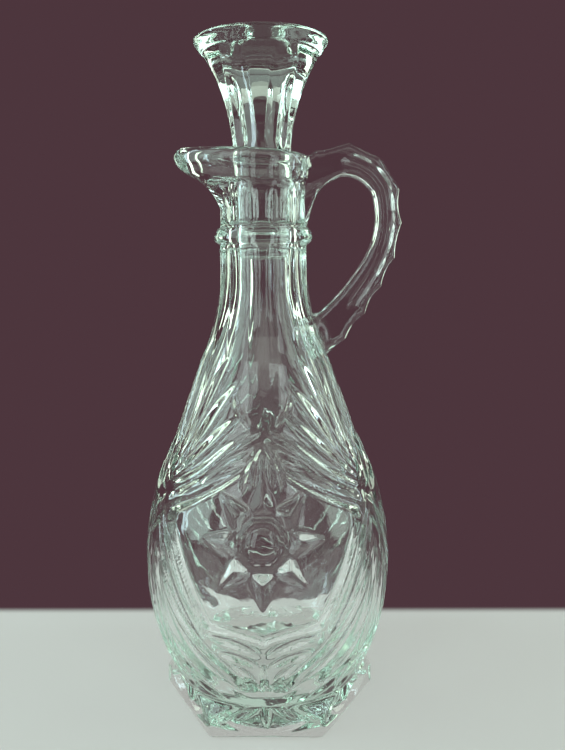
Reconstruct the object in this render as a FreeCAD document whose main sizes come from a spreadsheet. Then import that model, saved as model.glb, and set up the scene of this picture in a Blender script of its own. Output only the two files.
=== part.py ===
import FreeCAD, Part
import math
import os
import Sketcher

# A pressed-glass table cruet for oil, in millimetres with +Z up. The origin is on the bottle's
# axis, at the level that the foot stands on. The spout points along -X, the handle along +X,
# and one flat of the hexagonal foot faces -Y.

SIZES = [
    # The hexagonal foot
    ("foot_flats", 57.5, "across two opposite flats"),
    ("foot_height", 12.0, "top of the bevel, above the middle of each flat"),
    ("corner_height", 6.0, "height of the upright corner edges"),
    ("corner_round", 2.0, "radius on the upright corner edges"),
    ("bevel_reach", 36.0, "radius out to which the bevel tool reaches"),
    ("hollow_radius", 21.0, "shallow round hollow under the foot"),
    ("hollow_depth", 1.2, "depth of that hollow"),
    ("panel_half", 12.5, "half the width of the lens-shaped panel in each flat"),
    ("panel_level", 5.6, "height of the two points of the lens"),
    ("panel_top", 18.5, "radius of the lens's upper arc"),
    ("panel_bottom", 22.0, "radius of the lens's lower arc"),
    ("panel_depth", 1.2, "depth of the panel"),
    # The outside of the body and neck
    ("waist_radius", 29.3, "where the belly meets the foot"),
    ("waist_height", 9.7, "height of that line"),
    ("belly_radius", 37.7, "widest part of the belly"),
    ("belly_height", 44.0, "height of the widest part"),
    ("belly_low_arc", 74.0, "profile radius under the widest part"),
    ("belly_top_arc", 83.5, "profile radius over the widest part"),
    ("shoulder_radius", 27.5, "foot of the sloping shoulder"),
    ("shoulder_height", 84.0, "height of the foot of the shoulder"),
    ("slope_radius", 19.2, "top of the straight slope"),
    ("slope_height", 107.0, "height of the top of the slope"),
    ("neck_arc", 61.0, "profile radius of the sweep into the neck"),
    ("neck_radius", 12.9, "plain neck"),
    ("neck_start", 134.0, "height where the neck turns upright"),
    ("bead_radius", 14.4, "crest of the ring bead"),
    ("bead_low", 140.7, "underside of the bead"),
    ("bead_high", 145.5, "top of the bead"),
    ("bead_land", 0.8, "flat on the bead's crest"),
    ("collar_radius", 12.6, "neck over the bead"),
    ("collar_top", 151.0, "height where the lip starts to flare"),
    # The inside
    ("floor_height", 12.5, "inside floor, at the axis"),
    ("floor_radius", 18.0, "flat part of the inside floor"),
    ("floor_edge", 28.6, "inside radius where the floor's curve meets the wall"),
    ("floor_rise", 6.0, "height of that curve"),
    ("floor_arc", 13.0, "profile radius of that curve"),
    ("wall", 3.6, "wall of the belly"),
    ("inner_shoulder", 23.6, "inside radius at the foot of the shoulder"),
    ("inner_slope", 15.0, "inside radius at the top of the slope"),
    ("inner_neck_arc", 33.5, "profile radius of the sweep into the bore"),
    ("bore_start", 128.0, "height where the bore starts"),
    # The lip and spout
    ("seam_step", 0.2, "step where the collar and the funnel start, inside the solid before"),
    ("lip_back", 14.5, "lip radius on the handle side"),
    ("lip_half", 14.6, "half the width of the lip"),
    ("lip_height", 166.5, "lip height at the axis"),
    ("lip_tilt", 0.085, "rise of the lip towards the spout, per mm"),
    ("spout_reach", 26.5, "spout tip, out from the axis"),
    ("spout_narrowing", 0.75, "how far the spout pinches in: 1 is an ellipse"),
    ("lip_wall", 2.5, "wall of the lip and spout"),
    # The handle
    ("handle_width", 9.0, "across the arm, side to side"),
    ("handle_round", 2.2, "round along the arm's edges"),
    ("groove_width", 3.4, "groove down each side of the arm"),
    ("groove_depth", 0.9, "depth of that groove"),
    ("scallop_count", 10, "scallops along the outside of the arm"),
    ("scallop_rise", 0.9, "height of each scallop's crest over the arm"),
    ("scallop_dip", 0.5, "depth of the ends of each scallop's arc, inside the arm"),
    ("rib_width", 4.4, "rib that carries the scallops, side to side"),
    ("web_width", 7.0, "web under the upper joint, side to side"),
    ("pad_half", 6.5, "half the width of the pad on the shoulder"),
    ("pad_length", 14.0, "pad, along the shoulder"),
    ("pad_out", 7.0, "pad, from its inner face to its outer"),
    ("pad_round", 3.0, "round on the pad's rim"),
    # The stopper
    ("total_height", 197.0, "top of the stopper"),
    ("head_radius", 19.0, "rim of the stopper's head"),
    ("crown_bevel", 0.6, "height of the bevel round the top face"),
    ("rim_height", 193.4, "lower edge of the bevelled rim"),
    ("rim_radius", 16.6, "radius at that edge"),
    ("stem_radius", 8.6, "stem at its narrowest, and the top of the ground shank"),
    ("stem_height", 163.0, "height where the stem starts to flare"),
    ("stem_arc", 62.0, "profile radius of the flared stem"),
    ("shank_high", 158.0, "top of the ground shank"),
    ("shank_low", 136.4, "bottom of the ground shank"),
    ("shank_radius", 7.5, "ground shank at its bottom"),
    ("shank_bevel", 1.0, "bevel at the bottom of the shank"),
    ("fit_gap", 0.1, "radial clearance of the shank in its seat"),
    ("flute_count", 6, "flutes round the stem"),
    ("flute_radius", 11.0, "cross-section radius of a flute"),
    ("flute_depth", 1.3, "depth of a flute"),
    ("flute_sweep", 29.0, "turn of a flute about the centre of the stem's arc, in degrees"),
]


FOOT_SIDES = 6
FULL_TURN = 360.0
LEAST_CUT = 1.0  # a cut that takes away less than this, in cubic mm, has missed
LEFT, RIGHT = 1, -1  # side of an outline's edge that its arc's centre is on


def make_sheet(doc):
    """Put every size into a spreadsheet, one aliased cell each."""
    sheet = doc.addObject("Spreadsheet::Sheet", "sizes")
    for row, (alias, value, meaning) in enumerate(SIZES, start=1):
        sheet.set(f"A{row}", alias)
        sheet.set(f"B{row}", str(value))
        sheet.setAlias(f"B{row}", alias)
        sheet.set(f"C{row}", meaning)
    doc.recompute()
    return sheet


def size(doc, expression):
    """Value of an expression over the sheet, in mm."""
    return float(doc.getObject("sizes").evalExpression(expression))


# Sketching ----------------------------------------------------------------------------------


def new_sketch(body, name, role, offset=None):
    """Start a sketch on one of the body's own origin planes, moved out along its normal."""
    plane = next(f for f in body.Origin.OriginFeatures if f.Role == role)
    sketch = body.newObject("Sketcher::SketchObject", name)
    sketch.AttachmentSupport = [(plane, "")]
    sketch.MapMode = "FlatFace"
    if offset:
        sketch.setExpression(".AttachmentOffset.Base.z", offset)
    return sketch


def arc_geometry(start, end, radius, side):
    """Arc from start to end, which the sketch stores anticlockwise."""
    chord = end - start
    across = FreeCAD.Vector(-chord.y, chord.x, 0).normalize()
    reach = math.sqrt(radius**2 - (chord.Length / 2) ** 2)
    centre = (start + end) * 0.5 + across * reach * side
    first, last = (start, end) if side == LEFT else (end, start)
    angles = [math.atan2(p.y - centre.y, p.x - centre.x) for p in (first, last)]
    circle = Part.Circle(centre, FreeCAD.Vector(0, 0, 1), radius)
    return Part.ArcOfCircle(circle, *angles)


def drive(sketch, constraint, expression):
    """Add a dimension to a sketch and bind it to the sheet."""
    index = sketch.addConstraint(constraint)
    sketch.setExpression(f"Constraints[{index}]", expression)


def pin(sketch, edge, end, kind, axis, place, expression):
    """Hold one coordinate of a sketch point at an expression, or on the axis where it is 0."""
    if expression == "0":
        sketch.addConstraint(Sketcher.Constraint("PointOnObject", edge, end, axis))
    else:
        drive(sketch, Sketcher.Constraint(kind, -1, 1, edge, end, place), expression)


def draw_outline(sketch, corners):
    """Draw a closed outline from (x, y, radius, side) corners, all bound to the sheet.

    x and y are expressions for the corner's place. radius and side describe the arc that leads
    to the next corner, and are None where the edge is straight.
    """
    doc = sketch.Document
    places = [FreeCAD.Vector(size(doc, x), size(doc, y), 0) for x, y, _, _ in corners]
    edges = []
    for i, (_, _, radius, side) in enumerate(corners):
        start, end = places[i], places[(i + 1) % len(places)]
        if radius is None:
            geometry = Part.LineSegment(start, end)
        else:
            geometry = arc_geometry(start, end, size(doc, radius), side)
        ends = (2, 1) if side == RIGHT else (1, 2)
        edges.append((sketch.addGeometry(geometry, False), *ends))
    for i, (edge, start, end) in enumerate(edges):
        x, y, radius, _ = corners[i]
        after, after_start, _ = edges[(i + 1) % len(edges)]
        sketch.addConstraint(Sketcher.Constraint("Coincident", edge, end, after, after_start))
        pin(sketch, edge, start, "DistanceX", -2, places[i].x, x)
        pin(sketch, edge, start, "DistanceY", -1, places[i].y, y)
        if radius:
            drive(sketch, Sketcher.Constraint("Radius", edge, size(doc, radius)), radius)


def turn(body, kind, name, corners):
    """Add or cut a full turn about Z of an outline drawn in the XZ plane."""
    sketch = new_sketch(body, name + "_section", "XZ_Plane")
    draw_outline(sketch, corners)
    feature = body.newObject(kind, name)
    feature.Profile = sketch
    feature.ReferenceAxis = (sketch, ["V_Axis"])
    feature.Angle = FULL_TURN
    body.Document.recompute()
    return feature


def revolve(body, name, corners):
    """Add a solid of revolution."""
    return turn(body, "PartDesign::Revolution", name, corners)


def groove(body, name, corners):
    """Cut a solid of revolution, and check that it cut something."""
    before = body.Shape.Volume
    feature = turn(body, "PartDesign::Groove", name, corners)
    check_cut(body, name, before)
    return feature


def check_cut(body, name, before):
    """Stop if a cut took nothing away."""
    if body.Shape.Volume > before - LEAST_CUT:
        raise RuntimeError(f"{name} cuts nothing")


def repeat_round(body, name, feature, count):
    """Repeat a feature round Z."""
    pattern = body.newObject("PartDesign::PolarPattern", name)
    pattern.Originals = [feature]
    pattern.Axis = (next(f for f in body.Origin.OriginFeatures if f.Role == "Z_Axis"), [""])
    pattern.Angle = FULL_TURN
    pattern.setExpression("Occurrences", count)
    body.Tip = pattern
    body.Document.recompute()


# The bottle ---------------------------------------------------------------------------------

EGG_POINTS = 24
LOFT_LAP = 1.0  # how far a loft of the lip starts inside the solid before it
OVER_RIM = 1.5  # how far the funnel's cut reaches over the rim


def make_foot(body):
    """The hexagonal foot: a prism with rounded corners and a bevel like a nut's."""
    doc = body.Document
    prism = body.newObject("PartDesign::AdditivePrism", "foot")
    prism.Polygon = FOOT_SIDES
    prism.setExpression("Circumradius", "sizes.foot_flats / (2 * cos(30 deg))")
    prism.setExpression("Height", "sizes.foot_height")
    doc.recompute()
    upright = [
        f"Edge{i}"
        for i, edge in enumerate(prism.Shape.Edges, start=1)
        if edge.BoundBox.ZLength > size(doc, "sizes.foot_height / 2")
    ]
    rounds = body.newObject("PartDesign::Fillet", "foot_corners")
    rounds.Base = (prism, upright)
    rounds.setExpression("Radius", "sizes.corner_round")
    doc.recompute()
    slope = (
        "(sizes.foot_height - sizes.corner_height)"
        " / (sizes.foot_flats / (2 * cos(30 deg)) - sizes.foot_flats / 2)"
    )
    low = f"sizes.foot_height - {slope} * (sizes.bevel_reach - sizes.foot_flats / 2)"
    bevel = [
        ("sizes.foot_flats / 2", "sizes.foot_height", None, None),
        ("sizes.bevel_reach", low, None, None),
        ("sizes.bevel_reach", "sizes.foot_height", None, None),
    ]
    groove(body, "foot_bevel", bevel)


def press_panels(body):
    """A lens-shaped panel pressed into each flat of the foot."""
    sketch = new_sketch(body, "panel_outline", "XZ_Plane", "sizes.foot_flats / 2")
    lens = [
        ("-sizes.panel_half", "sizes.panel_level", "sizes.panel_bottom", LEFT),
        ("sizes.panel_half", "sizes.panel_level", "sizes.panel_top", LEFT),
    ]
    draw_outline(sketch, lens)
    before = body.Shape.Volume
    panel = body.newObject("PartDesign::Pocket", "panel")
    panel.Profile = sketch
    panel.setExpression("Length", "sizes.panel_depth")
    body.Document.recompute()
    check_cut(body, "panel", before)
    repeat_round(body, "panels", panel, str(FOOT_SIDES))


def bottle_blank(doc):
    """Foot, belly, neck and bead as one solid, before the inside is taken out."""
    body = doc.addObject("PartDesign::Body", "blank")
    make_foot(body)
    press_panels(body)
    hollow = [
        ("0", "0", None, None),
        ("sizes.hollow_radius", "0", None, None),
        ("sizes.hollow_radius - 2 * sizes.hollow_depth", "sizes.hollow_depth", None, None),
        ("0", "sizes.hollow_depth", None, None),
    ]
    groove(body, "hollow", hollow)
    crest = "(sizes.bead_low + sizes.bead_high) / 2"
    outside = [
        ("0", "sizes.waist_height", None, None),
        ("sizes.waist_radius", "sizes.waist_height", "sizes.belly_low_arc", LEFT),
        ("sizes.belly_radius", "sizes.belly_height", "sizes.belly_top_arc", LEFT),
        ("sizes.shoulder_radius", "sizes.shoulder_height", None, None),
        ("sizes.slope_radius", "sizes.slope_height", "sizes.neck_arc", RIGHT),
        ("sizes.neck_radius", "sizes.neck_start", None, None),
        ("sizes.neck_radius", "sizes.bead_low", None, None),
        ("sizes.bead_radius", f"{crest} - sizes.bead_land / 2", None, None),
        ("sizes.bead_radius", f"{crest} + sizes.bead_land / 2", None, None),
        ("sizes.collar_radius + sizes.seam_step", "sizes.bead_high", None, None),
        ("0", "sizes.bead_high", None, None),
    ]
    revolve(body, "belly", outside)
    return body


def bottle_cavity(doc):
    """The space inside: belly, bore and the tapered seat for the stopper."""
    body = doc.addObject("PartDesign::Body", "cavity")
    corner = "(sizes.floor_height + sizes.floor_rise)"
    inside = [
        ("0", "sizes.floor_height", None, None),
        ("sizes.floor_radius", "sizes.floor_height", "sizes.floor_arc", LEFT),
        ("sizes.floor_edge", corner, "sizes.belly_low_arc - sizes.wall", LEFT),
        ("sizes.belly_radius - sizes.wall", "sizes.belly_height", "sizes.belly_top_arc", LEFT),
        ("sizes.inner_shoulder", "sizes.shoulder_height", None, None),
        ("sizes.inner_slope", "sizes.slope_height", "sizes.inner_neck_arc", RIGHT),
        ("sizes.shank_radius + sizes.fit_gap", "sizes.bore_start", None, None),
        ("sizes.shank_radius + sizes.fit_gap", "sizes.shank_low", None, None),
        ("sizes.stem_radius + sizes.fit_gap", "sizes.shank_high", None, None),
        ("0", "sizes.shank_high", None, None),
    ]
    revolve(body, "hollow_belly", inside)
    return body


def egg_wire(height, tilt, back, tip, half, narrowing):
    """Closed curve round the neck: round towards the handle, drawn out towards the spout."""
    points = []
    for i in range(EGG_POINTS):
        angle = math.tau * i / EGG_POINTS
        along, across = math.cos(angle), math.sin(angle)
        pinch = 1.0
        if along < 0:
            pinch = narrowing + (1 - narrowing) * across**2
        x = back * along if along > 0 else tip * along
        points.append(FreeCAD.Vector(x, half * across * pinch, height - tilt * x))
    curve = Part.BSplineCurve()
    curve.interpolate(Points=points, PeriodicFlag=True)
    return Part.Wire([curve.toShape()])


def lip_sizes(doc):
    """Spout reach, back, half width, tilt, height and narrowing of the lip."""
    names = ["spout_reach", "lip_back", "lip_half", "lip_tilt", "lip_height", "spout_narrowing"]
    return [size(doc, f"sizes.{name}") for name in names]


def lip_outside(doc):
    """The flared lip and spout, as a solid."""
    reach, back, half, tilt, top, pinch = lip_sizes(doc)
    collar = size(doc, "sizes.collar_radius")
    low = size(doc, "sizes.collar_top")
    start = size(doc, "sizes.bead_high") - LOFT_LAP
    rise = top - low
    # height, tilt, back, tip, half width, narrowing
    sections = [
        (start, 0.0, collar, collar, collar, 1.0),
        (low, 0.0, collar, collar, collar, 1.0),
        (low + 0.32 * rise, 0.02, collar, 0.60 * reach, collar, 1.0),
        (low + 0.65 * rise, 0.05, 0.93 * back, 0.90 * reach, 0.93 * half, 0.85),
        (low + 0.85 * rise, 0.07, 0.98 * back, reach, 0.98 * half, pinch),
        (top, tilt, back, 0.93 * reach, half, pinch),
    ]
    return loft_feature(doc, "lip_solid", sections)


def lip_inside(doc):
    """The funnel and pouring channel inside the lip."""
    reach, back, half, tilt, top, pinch = lip_sizes(doc)
    seat = size(doc, "sizes.stem_radius + sizes.fit_gap - 2 * sizes.seam_step")
    start = size(doc, "sizes.shank_high")
    wall = size(doc, "sizes.lip_wall")
    back -= wall
    half -= wall
    middle = start + 0.45 * (top - start)
    over = top + OVER_RIM
    # height, tilt, back, tip, half width, narrowing
    sections = [
        (start - LOFT_LAP, 0.0, seat, seat, seat, 1.0),
        (middle, 0.5 * tilt, 0.92 * back, 0.68 * reach, 0.92 * half, pinch),
        (over, tilt, back, 0.93 * reach - wall, half, pinch),
    ]
    return loft_feature(doc, "lip_hollow", sections)


def loft_feature(doc, name, sections):
    """A solid lofted through egg-shaped sections."""
    feature = doc.addObject("Part::Feature", name)
    feature.Shape = Part.makeLoft([egg_wire(*section) for section in sections], True)
    return feature


def make_bottle(doc):
    """The whole bottle: outside less inside. Returns the outside too, to trim the handle."""
    outside = doc.addObject("Part::MultiFuse", "bottle_solid")
    outside.Shapes = [bottle_blank(doc), lip_outside(doc)]
    inside = doc.addObject("Part::MultiFuse", "bottle_inside")
    inside.Shapes = [bottle_cavity(doc), lip_inside(doc)]
    bottle = doc.addObject("Part::Cut", "bottle")
    bottle.Base = outside
    bottle.Tool = inside
    doc.recompute()
    return bottle, outside


# The handle ---------------------------------------------------------------------------------

# Middle line of the arm in the XZ plane, from inside the lip round to inside the shoulder.
ARM_LINE = [
    (9.0, 159.5),
    (16.0, 162.4),
    (23.0, 164.4),
    (29.5, 162.6),
    (34.6, 157.6),
    (36.3, 150.5),
    (36.0, 142.5),
    (33.4, 135.0),
    (29.6, 128.5),
    (25.0, 122.0),
    (19.5, 115.8),
    (12.0, 108.5),
]

# Half the arm's thickness in the XZ plane, at each of those points.
ARM_HALF = [4.6, 4.5, 4.5, 4.2, 3.9, 3.7, 3.8, 4.0, 4.4, 4.9, 5.4, 5.6]

GROOVE_SPAN = (0.18, 0.82)  # the part of the arm's length that has the side grooves
LONG_RIM = 15.0  # the arm's long edges are longer than this, and its end edges are shorter
CLOSED_GAP = 0.001  # ends of two edges that are nearer than this already touch


def arm_line():
    """Smooth middle line of the arm."""
    line = Part.BSplineCurve()
    line.interpolate(Points=[FreeCAD.Vector(x, 0, z) for x, z in ARM_LINE])
    return line


def arm_half_curve():
    """Half the arm's thickness in the XZ plane, as the y of a curve that runs along the arm."""
    half = Part.BSplineCurve()
    half.interpolate(Points=[FreeCAD.Vector(i, h, 0) for i, h in enumerate(ARM_HALF)])
    return half


def beside_line(line, share, distance):
    """Point beside the arm's middle line: positive distances are outside the loop."""
    parameter = line.FirstParameter + (line.LastParameter - line.FirstParameter) * share
    along = line.tangent(parameter)[0]
    return line.value(parameter) + FreeCAD.Vector(-along.z, 0, along.x) * distance


def through(points):
    """Smooth edge through points."""
    curve = Part.BSplineCurve()
    curve.interpolate(Points=points)
    return curve.toShape()


def close_wire(edges):
    """Closed wire from edges in order, with straight lines over the gaps."""
    closed = []
    for edge, after in zip(edges, edges[1:] + edges[:1]):
        closed.append(edge)
        gap = edge.valueAt(edge.LastParameter), after.valueAt(after.FirstParameter)
        if (gap[0] - gap[1]).Length > CLOSED_GAP:
            closed.append(Part.LineSegment(*gap).toShape())
    return Part.Wire(closed)


def arm_band(half_width, first=0.0, last=1.0):
    """Closed outline of a band along the arm, from one share of its length to another."""
    line = arm_line()
    steps = 2 * len(ARM_LINE)
    shares = [first + (last - first) * i / steps for i in range(steps + 1)]
    outside = through([beside_line(line, share, half_width(share)) for share in shares])
    inside = through([beside_line(line, share, -half_width(share)) for share in reversed(shares)])
    return close_wire([outside, inside])


def scallop_outline(doc):
    """Outline of the narrow rib with the scallops, along the outside of the arm."""
    line = arm_line()
    half = arm_half_curve()
    count = int(size(doc, "sizes.scallop_count"))
    rise = size(doc, "sizes.scallop_rise")
    dip = size(doc, "sizes.scallop_dip")

    def edge_point(share, lift):
        return beside_line(line, share, half.value(half.LastParameter * share).y + lift)

    scallops = []
    for i in range(count):
        start, crest, end = i / count, (i + 0.5) / count, (i + 1) / count
        arc = Part.Arc(edge_point(start, -dip), edge_point(crest, rise), edge_point(end, -dip))
        scallops.append(arc.toShape())
    back = [beside_line(line, 1 - i / count, 0) for i in range(count + 1)]
    return close_wire([*scallops, through(back)])


def arm_solid(doc):
    """The arm: a plate with rounded edges, a scalloped rib outside and a groove each side."""
    width = size(doc, "sizes.handle_width")
    half = arm_half_curve()
    plate = slab(arm_band(lambda share: half.value(half.LastParameter * share).y), width)
    rims = [e for e in plate.Edges if e.Length > LONG_RIM and e.BoundBox.YLength < CLOSED_GAP]
    arm = plate.makeFillet(size(doc, "sizes.handle_round"), rims)
    arm = arm.fuse(slab(scallop_outline(doc), size(doc, "sizes.rib_width")))
    groove_half = size(doc, "sizes.groove_width / 2")
    outline = arm_band(lambda share: groove_half, *GROOVE_SPAN)
    strip = slab(outline, 2 * size(doc, "sizes.groove_depth"))
    for side in (1, -1):
        arm = arm.cut(strip.translated(FreeCAD.Vector(0, side * width / 2, 0)))
    return arm


def slab(outline, width):
    """Plate of the given width across Y, centred on the XZ plane."""
    face = Part.Face(outline)
    plate = face.extrude(FreeCAD.Vector(0, width, 0))
    plate.translate(FreeCAD.Vector(0, -width / 2, 0))
    return plate


# Under the upper joint a thinner web of glass fills the corner between the arm and the neck.
WEB_CORNERS = [(10.0, 163.0), (10.0, 146.6), (12.9, 146.6)]
WEB_EDGE = [(12.9, 146.6), (14.4, 151.6), (15.7, 154.9), (17.8, 157.8), (21.0, 160.6)]
PAD_PLACE = (13.0, 0.0, 114.0)  # middle of the pad's inner face, inside the neck
PAD_LEAN = 12.0  # the shoulder's slope under the pad, in degrees


def pad_solid(doc):
    """Oval button with a rounded rim, standing on the XY plane and long in X."""
    rim = size(doc, "sizes.pad_round")
    thickness = size(doc, "sizes.pad_out")
    half_length = size(doc, "sizes.pad_length / 2")
    oval = Part.Ellipse(FreeCAD.Vector(), half_length, size(doc, "sizes.pad_half"))
    button = Part.Face(Part.Wire([oval.toShape()])).extrude(FreeCAD.Vector(0, 0, thickness))
    top = [e for e in button.Edges if e.BoundBox.ZMin > rim]
    return button.makeFillet(rim, top)


def make_handle(doc, outside):
    """The arm, its web and its pad, trimmed to lie on the bottle's outside."""
    arm = doc.addObject("Part::Feature", "arm")
    arm.Shape = arm_solid(doc)
    web = doc.addObject("Part::Feature", "web")
    edge = Part.BSplineCurve()
    edge.interpolate(Points=[FreeCAD.Vector(x, 0, z) for x, z in WEB_EDGE])
    straight = [FreeCAD.Vector(x, 0, z) for x, z in [WEB_EDGE[-1], *WEB_CORNERS]]
    sides = Part.makePolygon(straight).Edges
    web.Shape = slab(Part.Wire([edge.toShape(), *sides]), size(doc, "sizes.web_width"))
    pad = doc.addObject("Part::Feature", "pad")
    pad.Shape = pad_solid(doc)
    out = FreeCAD.Rotation(FreeCAD.Vector(0, 1, 0), 90 - PAD_LEAN)
    pad.Placement = FreeCAD.Placement(FreeCAD.Vector(*PAD_PLACE), out)
    blank = doc.addObject("Part::MultiFuse", "handle_blank")
    blank.Shapes = [arm, web, pad]
    handle = doc.addObject("Part::Cut", "handle")
    handle.Base = blank
    handle.Tool = outside
    doc.recompute()
    return handle


# The stopper --------------------------------------------------------------------------------


def make_stopper(doc):
    """Ground shank, flared fluted stem and bevelled head."""
    body = doc.addObject("PartDesign::Body", "stopper")
    outline = [
        ("0", "sizes.shank_low", None, None),
        ("sizes.shank_radius - sizes.shank_bevel", "sizes.shank_low", None, None),
        ("sizes.shank_radius", "sizes.shank_low + sizes.shank_bevel", None, None),
        ("sizes.stem_radius", "sizes.shank_high", None, None),
        ("sizes.stem_radius", "sizes.stem_height", "sizes.stem_arc", RIGHT),
        ("sizes.rim_radius", "sizes.rim_height", None, None),
        ("sizes.head_radius", "sizes.total_height - sizes.crown_bevel", None, None),
        ("sizes.head_radius - 2 * sizes.crown_bevel", "sizes.total_height", None, None),
        ("0", "sizes.total_height", None, None),
    ]
    revolve(body, "head", outline)
    cut_flutes(body)
    return body


def cut_flutes(body):
    """Concave flutes that follow the curve of the stem up to the rim."""
    doc = body.Document
    sketch = new_sketch(body, "flute_section", "XY_Plane", "sizes.stem_height")
    reach = "sizes.stem_radius + sizes.flute_radius - sizes.flute_depth"
    hinge = "sizes.stem_radius + sizes.stem_arc"
    up = FreeCAD.Vector(0, 0, 1)
    centre = FreeCAD.Vector(size(doc, reach), 0, 0)
    radius = size(doc, "sizes.flute_radius")
    ring = sketch.addGeometry(Part.Circle(centre, up, radius), False)
    sketch.addConstraint(Sketcher.Constraint("PointOnObject", ring, 3, -1))
    drive(sketch, Sketcher.Constraint("DistanceX", -1, 1, ring, 3, centre.x), reach)
    drive(sketch, Sketcher.Constraint("Radius", ring, radius), "sizes.flute_radius")
    away = size(doc, hinge)
    ends = FreeCAD.Vector(away, -radius, 0), FreeCAD.Vector(away, radius, 0)
    axis = sketch.addGeometry(Part.LineSegment(*ends), True)
    sketch.addConstraint(Sketcher.Constraint("Symmetric", axis, 1, axis, 2, -1))
    drive(sketch, Sketcher.Constraint("DistanceX", -1, 1, axis, 1, away), hinge)
    drive(sketch, Sketcher.Constraint("DistanceY", axis, 1, axis, 2, 2 * radius), "2 * sizes.flute_radius")
    before = body.Shape.Volume
    flute = body.newObject("PartDesign::Groove", "flute")
    flute.Profile = sketch
    flute.ReferenceAxis = (sketch, ["Axis0"])
    flute.setExpression("Angle", "sizes.flute_sweep")
    doc.recompute()
    check_cut(body, "flute", before)
    repeat_round(body, "flutes", flute, "sizes.flute_count")


# The document -------------------------------------------------------------------------------


def check_document(doc, nodes):
    """Stop if any feature failed, or if a sub-part isn't one valid solid."""
    for item in doc.Objects:
        if {"Invalid", "Error"} & set(item.State):
            raise RuntimeError(f"{item.Name} failed: {item.State}")
    for node in nodes:
        shape = node.Shape
        if shape.isNull() or not shape.isValid() or len(shape.Solids) != 1:
            raise RuntimeError(f"{node.Label} isn't one valid solid")


def main():
    """Build the document and write one STEP file for each sub-part."""
    doc = FreeCAD.newDocument("cruet")
    make_sheet(doc)
    bottle, outside = make_bottle(doc)
    nodes = [bottle, make_handle(doc, outside), make_stopper(doc)]
    doc.recompute()
    check_document(doc, nodes)
    os.makedirs("parts", exist_ok=True)
    for node in nodes:
        node.Shape.exportStep(f"parts/{node.Label}.step")
        box = node.Shape.BoundBox
        print(node.Label, round(node.Shape.Volume), box)


main()
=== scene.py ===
import math

import bpy
import numpy as np
from mathutils import Matrix, Vector


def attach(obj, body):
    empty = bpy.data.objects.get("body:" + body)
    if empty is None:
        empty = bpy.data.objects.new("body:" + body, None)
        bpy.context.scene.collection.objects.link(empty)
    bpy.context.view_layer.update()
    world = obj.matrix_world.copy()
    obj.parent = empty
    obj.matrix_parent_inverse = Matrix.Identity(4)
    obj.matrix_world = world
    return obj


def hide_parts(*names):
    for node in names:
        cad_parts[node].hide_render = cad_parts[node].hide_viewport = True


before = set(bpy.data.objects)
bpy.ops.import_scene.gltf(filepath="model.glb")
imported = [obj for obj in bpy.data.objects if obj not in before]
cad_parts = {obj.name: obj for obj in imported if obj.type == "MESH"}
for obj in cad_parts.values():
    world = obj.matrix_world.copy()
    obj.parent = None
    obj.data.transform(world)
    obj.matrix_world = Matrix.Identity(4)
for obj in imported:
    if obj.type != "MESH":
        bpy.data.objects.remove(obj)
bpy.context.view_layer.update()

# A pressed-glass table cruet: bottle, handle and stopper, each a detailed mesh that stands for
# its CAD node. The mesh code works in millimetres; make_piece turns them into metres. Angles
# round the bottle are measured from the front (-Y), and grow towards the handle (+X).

MM = 0.001
FAR = 1e9  # more than any distance here


# Small maths --------------------------------------------------------------------------------


def smoothstep(low, high, value):
    """0 below low, 1 above high, and a smooth ramp between."""
    share = np.clip((value - low) / (high - low), 0.0, 1.0)
    return share * share * (3 - 2 * share)


def soft_max(values, softness):
    """Largest of several fields, with its creases rounded over the given depth."""
    result = values[0]
    for value in values[1:]:
        blend = np.clip(0.5 + 0.5 * (value - result) / softness, 0.0, 1.0)
        result = result + (value - result) * blend + softness * blend * (1 - blend)
    return result


def curve_through(points, count):
    """Evenly shared points on a Catmull-Rom curve through the given ones."""
    points = np.asarray(points, float)
    padded = np.vstack([2 * points[0] - points[1], points, 2 * points[-1] - points[-2]])
    result = []
    spans = len(points) - 1
    for share in np.linspace(0, spans, count):
        i = min(int(share), spans - 1)
        t = share - i
        a, b, c, d = padded[i : i + 4]
        square = (2 * a - 5 * b + 4 * c - d) * t**2
        cube = (3 * b - a - 3 * c + d) * t**3
        result.append(0.5 * (2 * b + (c - a) * t + square + cube))
    return np.array(result)


def nearest_on(line, x, y):
    """Distance to a chain of straight pieces, how far along it, and how far to its left."""
    nearest = np.full(x.shape, FAR)
    left = np.zeros(x.shape)
    share = np.zeros(x.shape)
    pieces = len(line) - 1
    for i in range(pieces):
        start, step = line[i], line[i + 1] - line[i]
        length = math.hypot(*step)
        along = np.clip(((x - start[0]) * step[0] + (y - start[1]) * step[1]) / length**2, 0, 1)
        off_x = x - start[0] - along * step[0]
        off_y = y - start[1] - along * step[1]
        distance = np.hypot(off_x, off_y)
        closer = distance < nearest
        nearest = np.where(closer, distance, nearest)
        left = np.where(closer, (off_y * step[0] - off_x * step[1]) / length, left)
        share = np.where(closer, (i + along) / pieces, share)
    return nearest, share, left


def arc_radius(height, top_radius, top_height, arc):
    """Radius of a profile arc whose widest point is at (top_radius, top_height)."""
    return top_radius - arc + np.sqrt(arc**2 - (height - top_height) ** 2)


# The bottle's profile -----------------------------------------------------------------------

BELLY_RADIUS, BELLY_HEIGHT = 37.7, 44.0
BELLY_LOW_ARC, BELLY_TOP_ARC = 74.0, 83.5
SHOULDER_RADIUS, SHOULDER_HEIGHT = 27.5, 84.0
SLOPE_RADIUS, SLOPE_HEIGHT = 19.2, 107.0
NECK_RADIUS, NECK_START, NECK_ARC = 12.9, 134.0, 61.0
BEAD_RADIUS, BEAD_LOW, BEAD_HIGH = 14.4, 140.7, 145.5
COLLAR_RADIUS, COLLAR_TOP = 12.6, 151.0


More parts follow.
